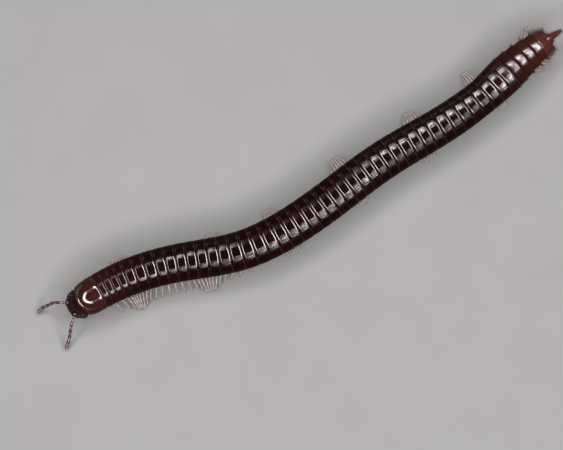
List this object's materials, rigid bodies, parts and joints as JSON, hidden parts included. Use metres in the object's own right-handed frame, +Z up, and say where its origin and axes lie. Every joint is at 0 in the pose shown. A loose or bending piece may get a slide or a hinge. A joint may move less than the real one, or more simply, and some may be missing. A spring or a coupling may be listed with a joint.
{
  "type": "millipede",
  "caption": "Life-size snake millipede walking in a gentle S, with a domed head, smooth collar, ringed round trunk, small legs in waves and a pointed tail.",
  "frame": {"origin": "middle of the box that the animal fills, at the level of the floor under its feet", "axes": "+Z up from the floor, +X towards the end where the tail lies, +Y to the side that the tail bends to; the face looks towards -X and -Y"},
  "size_m": [0.0437, 0.0274, 0.0036],
  "materials": {
    "trunk_shell": "glossy brown-black shell, finely grooved lengthwise",
    "head_shell": "smooth glossy dark red-brown shell",
    "tail_shell": "satin red-brown shell with fine hairs",
    "leg": "satin pale pinkish grey with browner joints",
    "feeler": "satin purple-brown with pale joints",
    "eye": "glossy black beads"
  },
  "bodies": {
    "root": {"head": "head_shell", "eye_right": "eye", "eye_left": "eye", "antenna_right": "feeler", "antenna_left": "feeler", "collum": "head_shell", "trunk_1": "trunk_shell", "trunk_2": "trunk_shell", "trunk_3": "trunk_shell", "trunk_4": "trunk_shell", "trunk_5": "trunk_shell", "trunk_6": "trunk_shell", "trunk_7": "trunk_shell", "telson": "tail_shell", "anal_valve_right": "tail_shell", "anal_valve_left": "tail_shell"}
  },
  "joints": []
}
